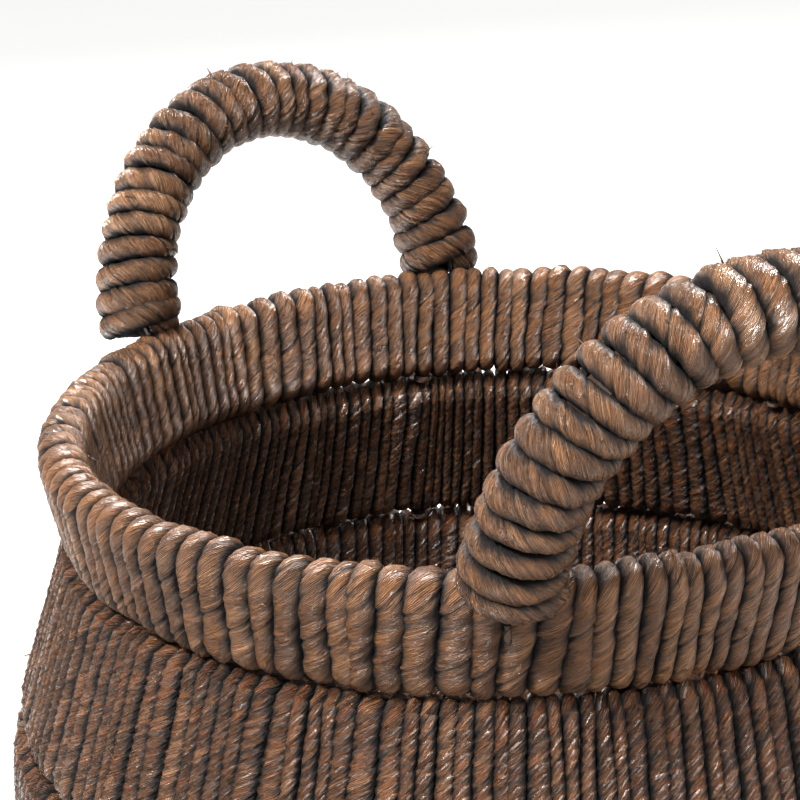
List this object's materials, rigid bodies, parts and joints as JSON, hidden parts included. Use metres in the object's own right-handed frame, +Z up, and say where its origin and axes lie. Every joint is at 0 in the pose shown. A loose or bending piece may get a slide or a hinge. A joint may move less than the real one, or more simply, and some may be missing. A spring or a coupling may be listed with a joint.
{
  "type": "round storage basket",
  "caption": "Open-topped round storage basket of cord wound over steel hoops in stacked bands, with upright wrapped loop handles.",
  "frame": {"origin": "on the floor, at the centre of the basket's footprint, on its upright axis", "axes": "+Z up along the basket's axis to its open mouth, +Y towards the middle of the back handle, +X to the right when looking along +Y"},
  "size_m": [0.4546, 0.4647, 0.4671],
  "materials": {
    "steel_wire": "satin dark brown-black",
    "rim_cord": "twisted plant-fibre cord, dry satin",
    "tier_cord": "darker twisted plant-fibre cord, glossier on the outside",
    "handle_cord": "twisted plant-fibre cord, dry satin",
    "tie_cord": "thin plant-fibre cord, matt",
    "base_cord": "woven plant-fibre cord, matt",
    "cane": "dark stained cane, matt"
  },
  "bodies": {
    "root": {"rim_hoop_upper": "steel_wire", "rim_hoop_lower": "steel_wire", "tier_a_hoop_upper": "steel_wire", "tier_a_hoop_lower": "steel_wire", "tier_b_hoop_upper": "steel_wire", "tier_b_hoop_lower": "steel_wire", "tier_c_hoop_upper": "steel_wire", "tier_c_hoop_lower": "steel_wire", "foot_hoop_upper": "steel_wire", "foot_hoop_lower": "steel_wire", "upright_1": "steel_wire", "upright_2": "steel_wire", "upright_3": "steel_wire", "upright_4": "steel_wire", "upright_5": "steel_wire", "upright_6": "steel_wire", "base_bar_upper": "steel_wire", "base_bar_lower": "steel_wire", "rim_winding": "rim_cord", "tier_a_winding": "tier_cord", "tier_b_winding": "tier_cord", "tier_c_winding": "tier_cord", "foot_winding": "tier_cord", "tie_rim_1": "tie_cord", "tie_tier_a_1": "tie_cord", "tie_tier_b_1": "tie_cord", "tie_tier_c_1": "tie_cord", "tie_rim_2": "tie_cord", "tie_tier_a_2": "tie_cord", "tie_tier_b_2": "tie_cord", "tie_tier_c_2": "tie_cord", "tie_rim_3": "tie_cord", "tie_tier_a_3": "tie_cord", "tie_tier_b_3": "tie_cord", "tie_tier_c_3": "tie_cord", "tie_rim_4": "tie_cord", "tie_tier_a_4": "tie_cord", "tie_tier_b_4": "tie_cord", "tie_tier_c_4": "tie_cord", "tie_rim_5": "tie_cord", "tie_tier_a_5": "tie_cord", "tie_tier_b_5": "tie_cord", "tie_tier_c_5": "tie_cord", "tie_rim_6": "tie_cord", "tie_tier_a_6": "tie_cord", "tie_tier_b_6": "tie_cord", "tie_tier_c_6": "tie_cord", "base_weave": "base_cord", "handle_back_rod": "steel_wire", "handle_back_core": "cane", "handle_back_wrap": "handle_cord", "handle_front_rod": "steel_wire", "handle_front_core": "cane", "handle_front_wrap": "handle_cord", "handle_back_tie_left": "tie_cord", "handle_back_tie_right": "tie_cord", "handle_front_tie_left": "tie_cord", "handle_front_tie_right": "tie_cord"}
  },
  "joints": []
}
